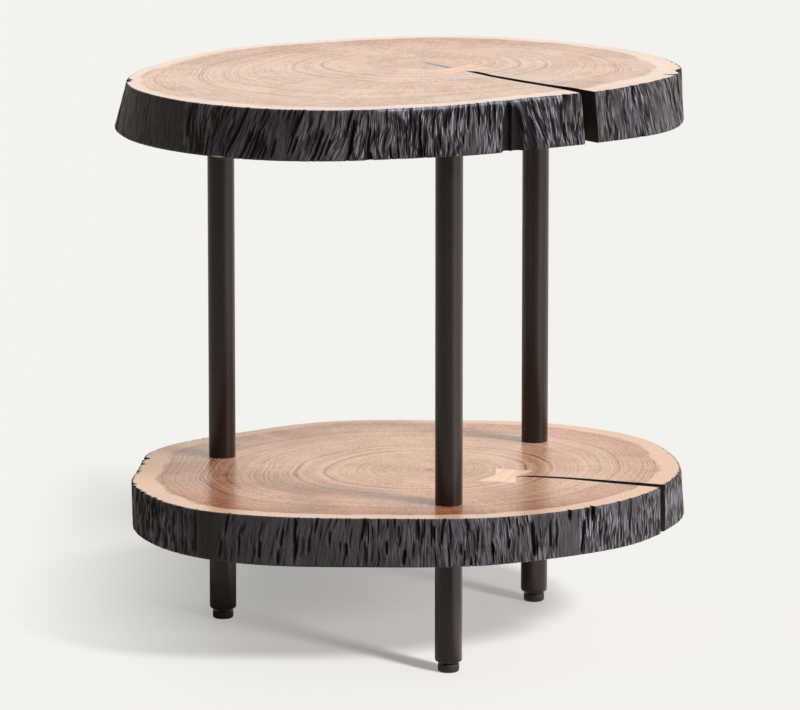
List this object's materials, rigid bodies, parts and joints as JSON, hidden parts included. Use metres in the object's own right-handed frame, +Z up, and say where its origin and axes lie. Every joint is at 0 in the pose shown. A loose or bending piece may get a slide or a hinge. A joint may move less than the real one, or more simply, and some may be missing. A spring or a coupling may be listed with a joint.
{
  "type": "round side table",
  "caption": "Two-level side table of live-edge log slices with bow-tie keys across their drying cracks, on round steel tube legs with levelling feet.",
  "frame": {"origin": "on the floor at the centre of the circle that the three legs stand on", "axes": "+Z up, +X to the right and +Y away from the viewer in the picture's front view"},
  "size_m": [0.526, 0.4944, 0.525],
  "materials": {
    "slice_wood": "satin lacquer on end grain, black-stained natural edge",
    "key_wood": "satin lacquer on pale straight grain",
    "black_steel": "satin black powder coat",
    "plain_steel": "zinc-plated steel",
    "black_plastic": "moulded black plastic"
  },
  "bodies": {
    "table": {"top_slab": "slice_wood", "shelf_slab": "slice_wood", "top_bowtie_key": "key_wood", "shelf_bowtie_key": "key_wood", "rear_upper_tube": "black_steel", "rear_lower_tube": "black_steel", "left_upper_tube": "black_steel", "left_lower_tube": "black_steel", "front_upper_tube": "black_steel", "front_lower_tube": "black_steel", "rear_foot_plug": "black_steel", "left_foot_plug": "black_steel", "front_foot_plug": "black_steel", "rear_upper_top_plug": "plain_steel", "rear_upper_bottom_plug": "plain_steel", "rear_lower_top_plug": "plain_steel", "left_upper_top_plug": "plain_steel", "left_upper_bottom_plug": "plain_steel", "left_lower_top_plug": "plain_steel", "front_upper_top_plug": "plain_steel", "front_upper_bottom_plug": "plain_steel", "front_lower_top_plug": "plain_steel", "top_inserts": "plain_steel", "top_studs": "plain_steel", "shelf_studs": "plain_steel"},
    "rear_pad": {"rear_foot_pad": "black_plastic"},
    "rear_stem": {"rear_foot_stem": "plain_steel"},
    "left_pad": {"left_foot_pad": "black_plastic"},
    "left_stem": {"left_foot_stem": "plain_steel"},
    "front_pad": {"front_foot_pad": "black_plastic"},
    "front_stem": {"front_foot_stem": "plain_steel"}
  },
  "joints": [
    {"name": "rear_foot_height", "type": "slide", "parent": "table", "child": "rear_pad", "axis": [0, 0, -1], "range_m": [-0.0015, 0.012]},
    {"name": "rear_stem_turn", "type": "hinge", "parent": "rear_pad", "child": "rear_stem", "pos_m": [0.12588, 0.12157, 0.004], "axis": [0, 0, -1], "range_deg": [-433, 3457]},
    {"name": "left_foot_height", "type": "slide", "parent": "table", "child": "left_pad", "axis": [0, 0, -1], "range_m": [-0.0015, 0.012]},
    {"name": "left_stem_turn", "type": "hinge", "parent": "left_pad", "child": "left_stem", "pos_m": [-0.16822, 0.04824, 0.004], "axis": [0, 0, -1], "range_deg": [-433, 3457]},
    {"name": "front_foot_height", "type": "slide", "parent": "table", "child": "front_pad", "axis": [0, 0, -1], "range_m": [-0.0015, 0.012]},
    {"name": "front_stem_turn", "type": "hinge", "parent": "front_pad", "child": "front_stem", "pos_m": [0.04234, -0.1698, 0.004], "axis": [0, 0, -1], "range_deg": [-433, 3457]}
  ],
  "couplings": [
    {"joint": "rear_stem_turn", "follows": "rear_foot_height", "rad_per_m": 5026.5},
    {"joint": "left_stem_turn", "follows": "left_foot_height", "rad_per_m": 5026.5},
    {"joint": "front_stem_turn", "follows": "front_foot_height", "rad_per_m": 5026.5}
  ]
}
